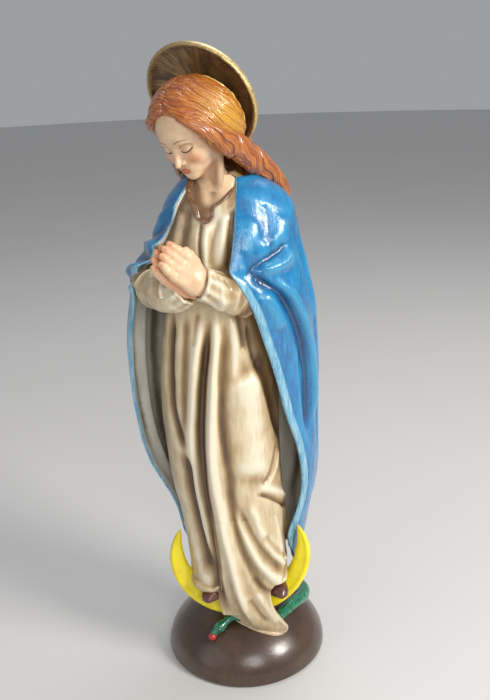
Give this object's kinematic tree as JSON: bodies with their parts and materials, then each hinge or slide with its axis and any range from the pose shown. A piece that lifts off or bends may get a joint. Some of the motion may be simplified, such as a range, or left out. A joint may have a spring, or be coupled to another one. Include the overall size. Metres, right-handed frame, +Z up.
{
  "type": "madonna statue",
  "caption": "Free-standing carved and painted praying figure in a long robe and open cloak, haloed, on a crescent moon and serpent over a low half-globe base.",
  "frame": {"origin": "centre of the felt face that rests on the shelf", "axes": "+Z up along the figure, -Y the front of the base, +X the figure's left hand side"},
  "size_m": [0.1875, 0.1704, 0.6195],
  "materials": {
    "felt": "wool felt, flat",
    "globe_brown": "dark umber oil paint under gloss varnish on carved wood",
    "steel": "zinc-plated, dull",
    "moon_yellow": "bright yellow gloss paint on carved wood",
    "serpent_green": "green gloss paint with turquoise lights on carved wood",
    "apple_red": "red gloss paint on carved wood",
    "robe_cream": "cream oil paint, brown glaze wiped into the folds, gloss varnish on carved wood",
    "collar_brown": "bronze-brown paint on carved wood",
    "mantle_blue": "bright blue brushed gloss paint on carved wood",
    "mantle_lining": "pale grey-cream paint on carved wood",
    "skin": "flesh oil paint with a rose blush, satin varnish on carved wood",
    "hair_auburn": "auburn-orange oil paint, darker glaze in the grooves, gloss varnish on carved wood",
    "gilt": "bronze gold paint, worn and streaked, on turned wood",
    "shoe_brown": "dark red-brown gloss paint on carved wood",
    "peg_wood": "bare beech dowel"
  },
  "bodies": {
    "root": {"base_felt": "felt", "base_dome": "globe_brown", "centre_rod": "steel", "rod_washer": "steel", "rod_nut": "steel", "crescent_moon": "moon_yellow", "moon_peg_left": "peg_wood", "moon_peg_right": "peg_wood", "serpent": "serpent_green", "serpent_apple": "apple_red", "shoe_left": "shoe_brown", "shoe_right": "shoe_brown", "robe_skirt": "robe_cream", "robe_train": "robe_cream", "robe_bodice": "robe_cream", "collar": "collar_brown", "sleeve_left": "robe_cream", "sleeve_right": "robe_cream", "hand_left": "skin", "hand_right": "skin", "wrist_peg_left": "peg_wood", "wrist_peg_right": "peg_wood", "head": "skin", "neck_peg": "peg_wood", "hair_crown": "hair_auburn", "hair_back": "hair_auburn", "tress_left": "hair_auburn", "tress_right": "hair_auburn", "halo": "gilt", "halo_pin": "steel", "mantle": "mantle_blue"}
  },
  "joints": []
}
